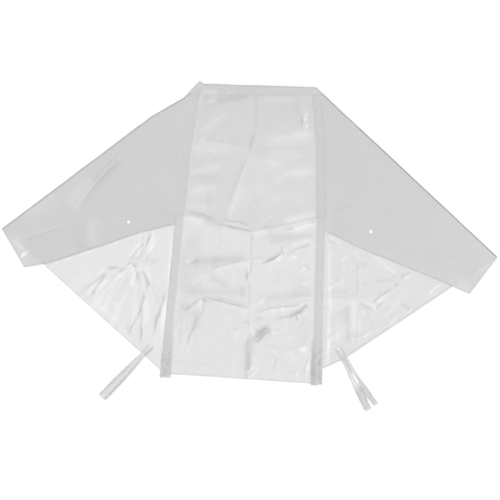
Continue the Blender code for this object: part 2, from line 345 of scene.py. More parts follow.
# ---------------------------------------------------------------- film material
def film_material(name, grey, alpha):
    """Cloudy polythene: haze that varies, fine drawn lines, and a gloss that small dents break up; its colour
    also takes painted shade and painted highlights from the shade attribute.
    """
    material = bpy.data.materials.new(name)
    material.use_nodes = True
    nodes, links = material.node_tree.nodes, material.node_tree.links
    shader = nodes["Principled BSDF"]
    shader.inputs["Alpha"].default_value = alpha
    shader.inputs["IOR"].default_value = 1.5

    def add(kind, **values):
        node = nodes.new(kind)
        for key, value in values.items():
            if hasattr(node, key):
                setattr(node, key, value)
            else:
                node.inputs[key].default_value = value
        return node

    def math_node(operation, *values):
        node = add("ShaderNodeMath", operation=operation)
        for socket, value in zip(node.inputs, values):
            if isinstance(value, (int, float)):
                socket.default_value = value
            else:
                links.new(value, socket)
        return node.outputs[0]

    place = add("ShaderNodeTexCoord").outputs["Object"]
    cloud = add("ShaderNodeTexNoise", Scale=9.0, Detail=5.0, Roughness=0.6)
    links.new(place, cloud.inputs["Vector"])
    stretch = add("ShaderNodeMapping")
    stretch.inputs["Scale"].default_value = (420.0, 16.0, 16.0)
    links.new(place, stretch.inputs["Vector"])
    drawn = add("ShaderNodeTexNoise", Scale=1.0, Detail=2.0)
    links.new(stretch.outputs[0], drawn.inputs["Vector"])
    shade = add("ShaderNodeAttribute", attribute_name="shade").outputs["Fac"]
    haze = math_node("MULTIPLY_ADD", cloud.outputs["Fac"], 0.06, 0.97)
    lines = math_node("MULTIPLY_ADD", drawn.outputs["Fac"], 0.04, 0.98)
    tone = math_node("MULTIPLY", math_node("MULTIPLY", haze, lines), grey)
    # Painted shade below 0 darkens the colour, and painted light and highlights above 0 lighten it towards
    # white.
    darker = math_node("MULTIPLY", tone, math_node("ADD", math_node("MINIMUM", shade, 0.0), 1.0))
    value = math_node("ADD", darker, math_node("MULTIPLY", math_node("MAXIMUM", shade, 0.0), 1.0 - grey))
    colour = add("ShaderNodeCombineColor")
    for socket in colour.inputs:
        links.new(value, socket)
    links.new(colour.outputs[0], shader.inputs["Base Color"])

    dents = add("ShaderNodeTexNoise", Scale=26.0, Detail=3.0, Roughness=0.45, Distortion=0.6)
    links.new(place, dents.inputs["Vector"])
    gloss = math_node("MULTIPLY_ADD", dents.outputs["Fac"], 0.16, 0.18)
    links.new(gloss, shader.inputs["Roughness"])
    bump = add("ShaderNodeBump", Strength=0.20, Distance=0.0016)
    links.new(dents.outputs["Fac"], bump.inputs["Height"])
    links.new(bump.outputs[0], shader.inputs["Normal"])
    return material


MATERIALS = {
    "film_single": film_material("film_single", **ONE_PLY),
    "film_double": film_material("film_double", **TWO_PLIES),
    "film_pleat": film_material("film_pleat", **ONE_PLY),
    "film_hem": film_material("film_hem", **TWO_PLIES),
    "film_fold": film_material("film_fold", grey=0.66, alpha=0.525),
    "film_tie": film_material("film_tie", grey=0.74, alpha=0.525),
}


def film_object(name, verts, triangles, shade, slot):
    """A sheet of film as a smooth mesh whose shade is kept at its points."""
    mesh = bpy.data.meshes.new(name)
    mesh.from_pydata(np.asarray(verts).tolist(), [], np.asarray(triangles).tolist())
    mesh.materials.append(MATERIALS[slot])
    mesh.polygons.foreach_set("use_smooth", np.ones(len(mesh.polygons), bool))
    kept = mesh.attributes.new("shade", "FLOAT", "POINT")
    kept.data.foreach_set("value", np.clip(np.asarray(shade, np.float32), -1.0, 1.0))
    mesh.update()
    thing = bpy.data.objects.new(name, mesh)
    bpy.context.scene.collection.objects.link(thing)
    return thing


# ---------------------------------------------------------------- the creases
# For every sheet, the paths of its creases by kind. A path is a list of (x, y) on the flat cape.
CENTRE_BACK = {
    "sharp": [[(-0.088, 0.079), (-0.058, 0.074), (-0.034, 0.072), (0.001, 0.064)]],
    "line": [
        [(0.021, 0.447), (0.019, 0.343)], [(0.013, 0.343), (0.004, 0.307), (-0.001, 0.28)],
        [(0.022, 0.289), (0.106, 0.291), (0.195, 0.296)], [(0.153, 0.358), (0.159, 0.399)],
        [(-0.189, 0.101), (-0.139, 0.092), (-0.097, 0.072)], [(0.037, 0.054), (0.094, 0.067)],
        [(0.004, 0.092), (0.016, 0.08), (0.037, 0.077)],
        [(-0.177, 0.265), (-0.159, 0.253), (-0.177, 0.226)], [(0.009, 0.328), (0.0, 0.283)],
        [(-0.073, 0.077), (-0.028, 0.072), (0.007, 0.054)],
        [(0.019, 0.052), (0.061, 0.057), (0.094, 0.063)],
        [(-0.186, 0.109), (-0.136, 0.094), (-0.082, 0.072)],
        [(0.007, 0.048), (0.037, 0.057), (0.067, 0.06)], [(0.156, 0.384), (0.159, 0.352)],
    ],
    "faint": [
        [(0.013, 0.268), (0.013, 0.167), (0.013, 0.072)], [(0.055, 0.399), (0.07, 0.39), (0.055, 0.384)],
        [(-0.156, 0.298), (-0.028, 0.283)], [(0.007, 0.444), (0.009, 0.381), (0.01, 0.316)],
        [(0.015, 0.444), (0.016, 0.381), (0.015, 0.316)],
    ],
    "weak": [[(-0.009, 0.247), (-0.031, 0.185), (-0.054, 0.107)]],
    "step": [[(-0.073, 0.08), (-0.043, 0.173), (-0.022, 0.224), (-0.002, 0.277)]],
    "brow": [[(-0.168, 0.295), (-0.127, 0.311), (-0.073, 0.304), (-0.002, 0.289)]],
    "glint": [
        [(0.162, 0.364), (0.168, 0.384), (0.174, 0.399)], [(0.165, 0.352), (0.177, 0.37)],
        [(0.173, 0.399), (0.161, 0.372)], [(0.171, 0.364), (0.165, 0.343)],
        [(-0.079, 0.069), (-0.04, 0.061), (-0.004, 0.054)],
    ],
    "shade": [
        [(0.013, 0.337), (0.0, 0.28)], [(-0.064, 0.119), (-0.037, 0.197), (-0.01, 0.265)],
        [(0.049, 0.206), (0.1, 0.224), (0.15, 0.253), (0.183, 0.262)],
        [(-0.171, 0.238), (-0.133, 0.256), (-0.082, 0.265)], [(-0.18, 0.188), (-0.13, 0.2), (-0.07, 0.194)],
        [(-0.189, 0.137), (-0.106, 0.137)],
        [(-0.145, 0.432), (-0.073, 0.441), (0.019, 0.447), (0.15, 0.444)],
        [(-0.183, 0.209), (-0.133, 0.2), (-0.082, 0.206)], [(0.019, 0.286), (0.106, 0.289), (0.186, 0.295)],
        [(-0.186, 0.101), (-0.13, 0.086), (-0.076, 0.069)],
        [(-0.139, 0.417), (-0.073, 0.432), (0.001, 0.444)],
        [(0.142, 0.447), (0.148, 0.405), (0.148, 0.352)],
        [(-0.189, 0.104), (-0.148, 0.095), (-0.112, 0.086)],
    ],
    "patch": [[(-0.142, 0.438), (-0.119, 0.439)]],
    "light": [
        [(0.127, 0.325), (0.159, 0.337), (0.192, 0.328)], [(0.04, 0.256), (0.073, 0.247), (0.103, 0.238)],
        [(0.07, 0.194), (0.121, 0.215), (0.195, 0.224)],
        [(-0.174, 0.283), (-0.133, 0.289), (-0.058, 0.286)],
        [(-0.177, 0.218), (-0.136, 0.226), (-0.082, 0.238)],
        [(-0.183, 0.158), (-0.139, 0.17), (-0.091, 0.173)], [(-0.189, 0.119), (-0.124, 0.116)],
        [(0.103, 0.074), (0.15, 0.089), (0.195, 0.101)], [(-0.139, 0.426), (-0.118, 0.43), (-0.097, 0.434)],
        [(-0.139, 0.34), (-0.1, 0.372), (-0.058, 0.399)], [(0.037, 0.441), (0.076, 0.441), (0.13, 0.432)],
        [(0.061, 0.316), (0.127, 0.325), (0.186, 0.331)], [(0.103, 0.07), (0.15, 0.082), (0.198, 0.095)],
        [(-0.025, 0.191), (-0.034, 0.152), (-0.051, 0.113), (-0.064, 0.077)],
    ],
    "dim": [[(-0.142, 0.423), (-0.106, 0.399)], [(0.139, 0.423), (0.103, 0.399)]],
    "broad_light": [
        [(0.055, 0.28), (0.15, 0.28)], [(0.037, 0.226), (0.121, 0.221), (0.192, 0.209)],
        [(0.019, 0.149), (0.106, 0.143), (0.192, 0.137)], [(-0.177, 0.149), (-0.124, 0.155)],
        [(-0.04, 0.119), (0.001, 0.167)], [(0.037, 0.301), (0.121, 0.313), (0.192, 0.316)],
        [(0.028, 0.268), (0.031, 0.143)],
    ],
}
CENTRE_FRONT = {
    "sharp": [
        [(0.007, -0.045), (0.002, -0.085)], [(0.097, -0.003), (0.098, -0.021)],
        [(-0.142, -0.152), (-0.127, -0.171)], [(-0.148, -0.155), (-0.171, -0.176), (-0.195, -0.194)],
        [(-0.157, -0.206), (-0.165, -0.241), (-0.181, -0.277), (-0.193, -0.313)],
        [(0.073, -0.218), (0.121, -0.21), (0.15, -0.197), (0.176, -0.17)],
        [(0.139, -0.203), (0.145, -0.224)], [(0.022, -0.289), (0.043, -0.268), (0.066, -0.246)],
        [(-0.073, 0.06), (-0.034, 0.052), (0.01, 0.042)],
        [(0.049, -0.045), (0.073, -0.036), (0.091, -0.027), (0.112, -0.018)],
        [(-0.008, -0.06), (-0.007, -0.107)],
    ],
    "line": [
        [(0.007, 0.039), (0.006, 0.0), (0.006, -0.042)], [(-0.001, -0.083), (-0.01, -0.1)],
        [(0.0, -0.104), (0.0, -0.194)], [(0.124, -0.012), (0.162, 0.0), (0.192, 0.01)],
        [(0.15, -0.069), (0.165, -0.058), (0.18, -0.069), (0.192, -0.063)],
        [(-0.106, -0.152), (-0.058, -0.162), (-0.002, -0.181)],
        [(-0.133, -0.167), (-0.14, -0.197), (-0.156, -0.224)], [(0.013, -0.253), (0.064, -0.244)],
        [(-0.025, -0.235), (-0.004, -0.224)], [(-0.021, -0.283), (-0.013, -0.265), (-0.007, -0.253)],
        [(-0.004, -0.215), (-0.001, -0.253)], [(0.082, -0.331), (0.074, -0.375)],
        [(-0.061, -0.367), (-0.074, -0.39), (-0.085, -0.375)], [(0.162, -0.375), (0.177, -0.334)],
        [(-0.177, -0.055), (-0.15, -0.042)], [(-0.148, -0.158), (-0.082, -0.168), (-0.01, -0.183)],
        [(-0.219, -0.203), (-0.195, -0.182)], [(0.004, -0.039), (0.025, -0.033), (0.043, -0.036)],
        [(0.103, -0.027), (0.127, -0.018), (0.162, -0.003), (0.195, 0.006)],
        [(-0.002, -0.316), (-0.003, -0.358), (-0.004, -0.396)],
        [(-0.109, 0.069), (-0.076, 0.061), (-0.055, 0.056), (-0.028, 0.051)],
    ],
    "faint": [
        [(-0.008, -0.253), (-0.009, -0.325), (-0.012, -0.396)],
        [(0.007, -0.271), (0.006, -0.325), (0.0, -0.396)], [(0.085, -0.06), (0.082, -0.125)],
        [(-0.088, 0.036), (-0.094, -0.03)], [(-0.225, -0.344), (-0.162, -0.349), (-0.091, -0.356)],
        [(0.103, -0.375), (0.186, -0.381)], [(-0.195, 0.018), (-0.162, 0.0)],
    ],
    "fold": [
        [(0.033, -0.055), (0.061, -0.048), (0.082, -0.036), (0.098, -0.018)],
        [(-0.13, -0.156), (-0.073, -0.17), (-0.004, -0.189)],
        [(0.013, -0.203), (0.061, -0.188), (0.142, -0.18), (0.183, -0.161)],
        [(0.109, 0.045), (0.156, 0.058), (0.201, 0.073)],
    ],
    "brow": [[(-0.115, -0.076), (-0.082, -0.061), (0.004, -0.043)]],
    "glint": [
        [(-0.002, -0.051), (-0.005, -0.08)], [(0.102, -0.004), (0.109, -0.028)],
        [(0.183, -0.06), (0.195, -0.072)], [(-0.145, -0.161), (-0.152, -0.185)],
        [(0.148, -0.179), (0.165, -0.165)], [(0.0, -0.238), (0.016, -0.268)],
        [(-0.189, -0.048), (-0.179, -0.043)], [(0.112, -0.045), (0.127, -0.036), (0.142, -0.027)],
    ],
    "soft": [[(0.037, -0.295), (0.106, -0.316), (0.174, -0.298)]],
    "shade": [
        [(-0.003, -0.256), (-0.004, -0.325), (-0.007, -0.396)],
        [(-0.121, -0.089), (-0.091, -0.107), (-0.058, -0.122)],
        [(-0.112, -0.039), (-0.064, -0.039), (-0.01, -0.036)],
        [(0.019, 0.03), (0.091, 0.027), (0.15, 0.03)],
        [(-0.207, -0.134), (-0.118, -0.137), (-0.01, -0.137)],
        [(0.019, -0.158), (0.106, -0.149), (0.186, -0.14)], [(-0.216, -0.173), (-0.177, -0.179)],
        [(-0.007, -0.262), (-0.007, -0.393)], [(0.019, -0.253), (0.055, -0.259), (0.025, -0.28)],
        [(0.037, -0.048), (0.103, -0.027)], [(-0.168, -0.048), (-0.124, -0.042), (-0.082, -0.042)],
        [(-0.156, -0.185), (-0.159, -0.253)], [(-0.139, -0.158), (-0.106, -0.167), (-0.076, -0.176)],
        [(0.016, -0.209), (0.037, -0.224)], [(0.061, 0.015), (0.106, 0.012)],
        [(0.139, 0.024), (0.192, 0.03)], [(-0.148, 0.077), (-0.112, 0.069), (-0.07, 0.06)],
        [(-0.022, -0.116), (-0.022, -0.152)],
    ],
    "patch": [
        [(0.115, -0.209), (0.15, -0.195), (0.171, -0.174)], [(0.025, -0.262), (0.052, -0.255)],
        [(0.019, -0.253), (0.019, -0.289)], [(0.031, -0.25), (0.028, -0.277)],
        [(0.031, -0.247), (0.058, -0.244)], [(0.145, -0.2), (0.162, -0.191), (0.174, -0.176)],
    ],
    "light": [
        [(-0.186, 0.083), (-0.159, 0.08), (-0.136, 0.069)], [(0.121, 0.0), (0.189, 0.019)],
        [(0.127, 0.051), (0.186, 0.07)], [(0.01, 0.037), (0.034, 0.042), (0.055, 0.042)],
    ],
    "dim": [
        [(-0.207, -0.048), (-0.148, -0.054)], [(-0.213, -0.125), (-0.136, -0.125)],
        [(-0.213, -0.197), (-0.159, -0.209)], [(-0.189, 0.018), (-0.136, 0.024)],
        [(0.121, -0.137), (0.186, -0.125)], [(0.15, -0.215), (0.174, -0.31)],
        [(0.103, 0.024), (0.186, 0.0)], [(-0.201, 0.018), (-0.186, -0.131)],
        [(-0.171, -0.051), (-0.094, -0.054)],
    ],
}
LEFT_FRONT = {
    "sharp": [
        [(-0.323, -0.063), (-0.302, -0.113), (-0.314, -0.14), (-0.329, -0.209), (-0.362, -0.262)],
        [(-0.249, -0.131), (-0.267, -0.191), (-0.282, -0.247), (-0.291, -0.283)],
        [(-0.316, -0.135), (-0.32, -0.198), (-0.324, -0.295)],
        [(-0.246, -0.142), (-0.265, -0.191), (-0.28, -0.238), (-0.292, -0.283)],
        [(-0.299, -0.114), (-0.316, -0.17), (-0.341, -0.22), (-0.362, -0.269)],
        [(-0.358, -0.041), (-0.335, -0.012), (-0.313, 0.011)],
        [(-0.339, -0.042), (-0.321, -0.021), (-0.307, 0.011), (-0.292, 0.036)],
        [(-0.426, -0.076), (-0.457, -0.103), (-0.501, -0.137)],
        [(-0.424, -0.082), (-0.448, -0.112), (-0.469, -0.144)],
        [(-0.427, -0.067), (-0.395, -0.064), (-0.367, -0.066)],
        [(-0.368, -0.06), (-0.358, -0.052), (-0.338, -0.051)], [(-0.346, -0.052), (-0.341, -0.077)],
        [(-0.337, -0.076), (-0.333, -0.094), (-0.331, -0.113)],
        [(-0.318, -0.072), (-0.305, -0.101), (-0.296, -0.123)],
        [(-0.275, -0.193), (-0.279, -0.214), (-0.282, -0.246)],
    ],
    "line": [
        [(-0.475, -0.155), (-0.451, -0.119), (-0.425, -0.08)],
        [(-0.431, -0.064), (-0.404, -0.063), (-0.374, -0.069)],
        [(-0.41, -0.092), (-0.392, -0.083), (-0.374, -0.095)],
        [(-0.308, -0.018), (-0.299, 0.015), (-0.289, 0.045)], [(-0.338, -0.048), (-0.332, -0.101)],
        [(-0.317, -0.182), (-0.325, -0.301)], [(-0.347, -0.161), (-0.356, -0.215), (-0.368, -0.265)],
        [(-0.267, -0.238), (-0.273, -0.295)], [(-0.252, -0.25), (-0.256, -0.298), (-0.261, -0.346)],
        [(-0.392, -0.113), (-0.422, -0.137), (-0.437, -0.161)],
        [(-0.374, -0.069), (-0.344, -0.06), (-0.32, -0.066)], [(-0.338, -0.05), (-0.33, -0.107)],
        [(-0.429, -0.075), (-0.475, -0.156)], [(-0.422, -0.068), (-0.392, -0.073), (-0.359, -0.068)],
        [(-0.278, 0.045), (-0.295, -0.008), (-0.313, -0.064)],
        [(-0.405, -0.081), (-0.384, -0.073), (-0.368, -0.082)], [(-0.395, -0.095), (-0.374, -0.099)],
        [(-0.364, -0.073), (-0.366, -0.101), (-0.381, -0.126)],
        [(-0.384, -0.151), (-0.398, -0.179), (-0.421, -0.216)],
        [(-0.342, -0.137), (-0.351, -0.165), (-0.363, -0.193)],
    ],
    "faint": [[(-0.565, -0.089), (-0.493, -0.072)], [(-0.384, -0.14), (-0.363, -0.135), (-0.338, -0.139)]],
    "weak": [[(-0.285, 0.046), (-0.362, 0.022), (-0.446, -0.01), (-0.517, -0.031), (-0.589, -0.051)]],
    "glint": [
        [(-0.487, -0.149), (-0.454, -0.107)], [(-0.404, -0.1), (-0.383, -0.091)],
        [(-0.308, -0.024), (-0.295, 0.009), (-0.282, 0.048)],
        [(-0.365, -0.134), (-0.383, -0.17), (-0.407, -0.215)], [(-0.347, -0.06), (-0.344, -0.101)],
        [(-0.313, -0.06), (-0.294, -0.104)], [(-0.24, -0.137), (-0.258, -0.197), (-0.273, -0.253)],
        [(-0.223, 0.057), (-0.232, -0.048), (-0.246, -0.206), (-0.259, -0.358)],
        [(-0.238, -0.149), (-0.258, -0.226), (-0.267, -0.28)],
        [(-0.231, 0.03), (-0.235, -0.048), (-0.244, -0.137)], [(-0.24, -0.161), (-0.252, -0.295)],
        [(-0.362, -0.034), (-0.34, -0.009), (-0.317, 0.015)], [(-0.34, -0.034), (-0.322, -0.013)],
        [(-0.304, -0.017), (-0.292, 0.008), (-0.281, 0.035)], [(-0.431, -0.069), (-0.455, -0.091)],
        [(-0.422, -0.089), (-0.446, -0.128), (-0.468, -0.165)], [(-0.398, -0.084), (-0.374, -0.089)],
        [(-0.353, -0.055), (-0.348, -0.078)], [(-0.327, -0.057), (-0.323, -0.077)],
        [(-0.387, -0.165), (-0.405, -0.195)], [(-0.35, -0.094), (-0.349, -0.123)],
    ],
    "shade": [
        [(-0.371, -0.048), (-0.326, -0.036), (-0.273, -0.048)], [(-0.296, -0.052), (-0.261, -0.034)],
        [(-0.261, -0.144), (-0.273, -0.176)],
    ],
    "light": [
        [(-0.446, -0.176), (-0.392, -0.226)], [(-0.303, -0.16), (-0.307, -0.236)],
        [(-0.25, -0.158), (-0.259, -0.25)],
    ],
    "broad_light": [[(-0.457, -0.161), (-0.422, -0.197)]],
}
LEFT_BACK = {
    "faint": [
        [(-0.487, 0.101), (-0.493, 0.012)], [(-0.273, 0.072), (-0.249, 0.113)],
        [(-0.249, 0.066), (-0.222, 0.107)], [(-0.46, 0.042), (-0.434, 0.095)],
    ],
    "weak": [
        [(-0.365, 0.286), (-0.422, 0.232), (-0.475, 0.176), (-0.535, 0.092)],
        [(-0.204, 0.283), (-0.21, 0.256), (-0.216, 0.238)],
        [(-0.684, 0.018), (-0.609, 0.042), (-0.559, 0.06)],
        [(-0.371, 0.289), (-0.431, 0.229), (-0.477, 0.173), (-0.544, 0.092)],
    ],
    "glint": [[(-0.679, -0.036), (-0.669, -0.022), (-0.654, -0.01)], [(-0.682, -0.037), (-0.663, -0.019)]],
    "shade": [[(-0.386, 0.262), (-0.451, 0.191), (-0.505, 0.119)]],
    "light": [[(-0.699, 0.027), (-0.675, -0.012)]],
    "dim": [[(-0.487, 0.089), (-0.505, -0.012)]],
    "broad_light": [
        [(-0.469, 0.203), (-0.547, 0.119)], [(-0.672, 0.095), (-0.571, 0.149)],
        [(-0.466, 0.089), (-0.475, 0.0)],
    ],
}
RIGHT_FRONT = {
    "sharp": [
        [(0.236, 0.018), (0.259, 0.006)], [(0.45, -0.094), (0.481, -0.079)],
        [(0.432, -0.118), (0.445, -0.114)], [(0.367, -0.168), (0.397, -0.145), (0.428, -0.128)],
    ],
    "line": [
        [(0.294, 0.007), (0.332, -0.01)],
        [(0.341, -0.015), (0.374, -0.042), (0.41, -0.072), (0.444, -0.104)],
        [(0.332, -0.049), (0.35, -0.063)], [(0.373, -0.103), (0.428, -0.103)],
        [(0.34, -0.112), (0.352, -0.117)], [(0.325, -0.157), (0.334, -0.177), (0.374, -0.191)],
        [(0.322, -0.048), (0.322, -0.158)], [(0.322, -0.191), (0.32, -0.295)],
        [(0.448, -0.169), (0.465, -0.179), (0.481, -0.193)], [(0.401, -0.17), (0.377, -0.188)],
    ],
    "faint": [[(0.23, -0.157), (0.276, -0.156), (0.317, -0.149)]],
    "weak": [[(0.392, -0.156), (0.374, -0.17)]],
    "glint": [
        [(0.341, -0.165), (0.359, -0.174), (0.378, -0.181)],
        [(0.237, 0.009), (0.238, -0.161), (0.23, -0.358)],
    ],
    "shade": [[(0.23, -0.137), (0.297, -0.137)], [(0.294, -0.167), (0.294, -0.295)]],
    "light": [
        [(0.234, 0.028), (0.276, 0.016)], [(0.353, -0.015), (0.392, -0.048), (0.431, -0.083)],
        [(0.311, -0.155), (0.311, -0.262)],
    ],
}
RIGHT_BACK = {
    "faint": [[(0.258, 0.095), (0.299, 0.119)]],
    "dim": [[(0.645, -0.107), (0.693, -0.083)]],
}
NECK = {
    "weak": [[(-0.148, 0.477), (-0.139, 0.468)]],
    "light": [[(-0.145, 0.457), (-0.124, 0.459), (-0.091, 0.455)]],
}
BOTTOM_HEM = {
    "line": [[(-0.23, -0.374), (-0.223, -0.395)], [(-0.007, -0.352), (-0.01, -0.423)]],
    "shade": [[(-0.006, -0.352), (-0.009, -0.423)]],
}


# ---------------------------------------------------------------- sheets
# Fans of creases: where each spreads from, its heading and half spread in degrees, reach, ribs to a radian,
# strength and seed
FANS = [
    ("left", (-0.322, -0.030), 250, 50, 0.36, 8.0, 0.55, 101),
    ("left", (-0.322, -0.052), 75, 25, 0.13, 8.0, 0.75, 102),
    ("right", (0.330, -0.160), 250, 110, 0.14, 3.0, 0.25, 103),
    ("centre", (-0.196, -0.162), 254, 32, 0.20, 8.0, 0.35, 104),
    ("centre", (0.002, -0.236), 225, 45, 0.07, 5.0, 0.5, 105),
]
OPEN_TONE = {"left": 0.13, "right": -0.04}      # how much lighter or darker a front sheet's open part is coloured
SIDE_EDGE = {"front": -0.46, "back": -0.28}     # how much darker a side sheet's cut edge is coloured
HOLE_EDGE = -0.08                               # and the edge of a punched hole
CREASES = {("left", "front"): LEFT_FRONT, ("left", "back"): LEFT_BACK,
           ("right", "front"): RIGHT_FRONT, ("right", "back"): RIGHT_BACK}


def crease_line(side):
    """The X of a wing's packing crease."""
    joint = next(j for j in frame["joints"] if j["name"] == side + "_wing_crease")
    return joint["pos_m"][0]


def pleat_edges(side, layer, y):
    """The X of a pleat's inner and outer edge at each height of the cape."""
    heights, low, high = (np.array(c) for c in zip(*rails("%s_%s_pleat" % (side, layer))[::-1]))
    low, high = np.interp(y, heights, low), np.interp(y, heights, high)
    return (high, low) if side == "left" else (low, high)


def ripples(points, amount, seed):
    """Shallow waves and small ridges of slack film."""
    x, y = points[:, 0], points[:, 1]
    waves = noise(x * 9, y * 14, seed) + 0.5 * noise(x * 23, y * 31, seed + 3)
    ridges = crumple(points, 20, 0.05, 0.12, seed + 5) + crumple(points, 105, 0.06, 0.15, seed + 9)
    return amount * (0.5 + 0.35 * waves + 0.35 * ridges ** 2)


def fan_ribs(points, centre, heading, spread, reach, ribs, strength, seed):
    """Creases that spread from one place like the ribs of a fan: -1 to 1, and 0 away from the fan."""
    x, y = points[:, 0] - centre[0], points[:, 1] - centre[1]
    radius = np.hypot(x, y)
    turn = np.angle(np.exp(1j * (np.arctan2(y, x) - math.radians(heading))))
    value = noise(turn * ribs + 7.0, radius / 0.11, seed)
    value += 0.35 * noise(turn * ribs * 2.3, radius / 0.05, seed + 1)
    edge = smooth(radius, 0.004, 0.03) * smooth(radius, reach, reach * 0.55)
    return np.clip(value * strength * edge * np.exp(-(turn / math.radians(spread)) ** 4), -1.0, 1.0)


def add_fans(where, points, height, shade, rise, painted_highlight, painted_shade):
    """Add the fans of one part of the cape to its height, and their painted shade and highlights to its
    shade.
    """
    for place, *fan in FANS:
        if place == where:
            ribs = fan_ribs(points, *fan)
            height += rise * ribs
            # Ribs above 0 are painted highlights and ribs below 0 painted shade.
            shade += np.where(ribs > 0.0, painted_highlight, painted_shade) * ribs


def wander(points):
    """Film never lies on a ruler's edge: the same small shift for every sheet at a place."""
    x, y = points[:, 0], points[:, 1]
    shift = np.column_stack([noise(x * 13, y * 13, 71), noise(x * 13, y * 13, 83)])
    return points + 0.0007 * shift


def free_rim(loops, neighbours):
    """Points along the parts of the outlines that no neighbour joins."""
    rim = np.concatenate([np.array(stepped(loop, RIM_STEP, closed=True)) for loop in loops])
    joined = np.concatenate([np.array(stepped(loop, RIM_STEP, closed=True)) for loop in neighbours])
    return rim[distance_to(rim, joined, 0.003) > 0.0022]


def rim_shade(points, rim, strength, width=0.0024):
    """A darker colour along a cut edge."""
    return strength * np.exp(-(distance_to(points, rim, 0.008) / width) ** 1.5)


def welded(loop, crease_x):
    """A loop whose points next to the packing crease are moved onto it, so that two panels join."""
    return [(crease_x, y) if abs(x - crease_x) < 0.001 else (x, y) for x, y in loop]


def turn_with_wing(thing):
    """Bake the film's placement into its mesh; the film is attached to no body."""
    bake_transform(thing)


def front_height(points, side, shared):
    """Height and shade of one side's front layer, which lies flatter and plainer under the back layer."""
    height, shade = relief(points, CREASES[side, "front"])
    add_fans(side, points, height, shade, rise=0.0016, painted_highlight=0.75, painted_shade=0.32)
    shade += OPEN_TONE[side]
    height += ripples(points, 0.0012, 20 if side == "left" else 40)
    inner, outer = pleat_edges(side, "front", points[:, 1])
    climb = 2 * PLY_STEP * np.exp(-((points[:, 0] - outer) / 0.014) ** 2)
    return FRONT_Z + height * (1.0 - 0.85 * shared) + climb, shade * (1.0 - shared)


def covered(points, side):
    """1 where the back layer lies over the front one, fading to 0 past its lower edge."""
    loops = [welded(grown(plan_loops("%s_back_%s_panel" % (side, part))[0], 0.0004), crease_line(side))
             for part in ("side", "wing")]
    under = inside(points, loops[0]) | inside(points, loops[1])
    rim = np.concatenate([np.array(stepped(loop, 0.004, closed=True)) for loop in loops])
    return np.where(under, 1.0, 1.0 - smooth(distance_to(points, rim, 0.012), 0.0, 0.012))


def make_side_sheet(side, layer):
    """One layer of the cape's side and wing, in one sheet that spans the packing crease."""
    nodes = ["%s_%s_%s_panel" % (side, layer, part) for part in ("side", "wing")]
    found = [plan_loops(node) for node in nodes]
    outers = [welded(grown(loops[0], SEAM_COVER), crease_line(side)) for loops in found]
    holes = [hole for loops in found for hole in loops[1:]]
    creases = CREASES[side, layer]
    points, triangles = sheet_mesh(outers, holes, creases, SPACING)
    shared = covered(points, side)
    height, shade = front_height(points, side, shared)
    if layer == "back":
        own_height, shade = relief(points, creases)
        height += BACK_RISE + own_height
    pleat = rails(side + "_front_pleat")
    neighbours = [plan_loops(side + "_shoulder_fold")[0], plan_loops(side + "_wing_fold")[0],
                  plan_loops(layer + "_neck_hem")[0],
                  [(x, y) for y, x, _ in pleat] + [(x, y) for y, _, x in pleat[::-1]],
                  [(crease_line(side), -0.5), (crease_line(side), 0.5)]]
    shade += rim_shade(points, free_rim(outers, neighbours), SIDE_EDGE[layer])
    for hole in holes:
        shade += rim_shade(points, np.array(stepped(hole, RIM_STEP, closed=True)), HOLE_EDGE, 0.0035)
    verts = np.column_stack([wander(points), height])
    slot = "film_single" if layer == "front" else "film_double"
    thing = film_object("%s_%s_film" % (side, layer), verts, triangles, shade, slot)
    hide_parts(*nodes)
    turn_with_wing(thing)
    return thing


def make_centre_sheet(name, node, joins, creases, z, slot, strength=-0.40, tones=(0.0, 0.0), flatter=0.0):
    """A sheet of the centre, with no cut edge where it joins its neighbours.

    Its tone goes from the first of the tones at the neck to the second at the middle of the cape. Flatter is
    the share of its height that it loses above the V.
    """
    loops = [grown(loop, SEAM_COVER / 3) for loop in plan_loops(node)]
    points, triangles = sheet_mesh(loops, [], creases, SPACING)
    height, shade = relief(points, creases)
    if node == "front_centre_panel":
        add_fans("centre", points, height, shade, rise=0.0012, painted_highlight=0.6, painted_shade=0.35)
    height = (height + ripples(points, 0.0014, 60)) * (1.0 - flatter * (points[:, 1] > 0.02))
    shade += tones[0] + (tones[1] - tones[0]) * smooth(points[:, 1], 0.42, 0.24)
    shade += rim_shade(points, free_rim(loops, [plan_loops(other)[0] for other in joins]), strength)
    thing = film_object(name, np.column_stack([wander(points), height + z]), triangles, shade, slot)
    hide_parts(node)
    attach(thing, "cape")
    return thing


# ---------------------------------------------------------------- pleats
LOOSE_FROM, LOOSE_TO = -0.22, -0.37             # a pleat's lower end grows slack between these Y values
LOOSE_SPREAD = 0.22                             # share of its width by which the slack end spreads inwards


def pleat_section(across_count):
    """A flat Z as (share across, ply number), with its two folds rounded."""
    section = []
    for ply in range(3):
        middle = [0.06 + 0.88 * i / across_count for i in range(across_count + 1)]
        shares = [0.012, 0.03] + middle + [0.97, 0.988]
        if ply == 1:
            shares.reverse()
        section += [(share, float(ply)) for share in shares]
        if ply < 2:
            end = 1.0 - ply
            tuck = math.copysign(0.006, end - 0.5)
            section += [(end - tuck, ply + 0.2), (end, ply + 0.5), (end - tuck, ply + 0.8)]
    return section


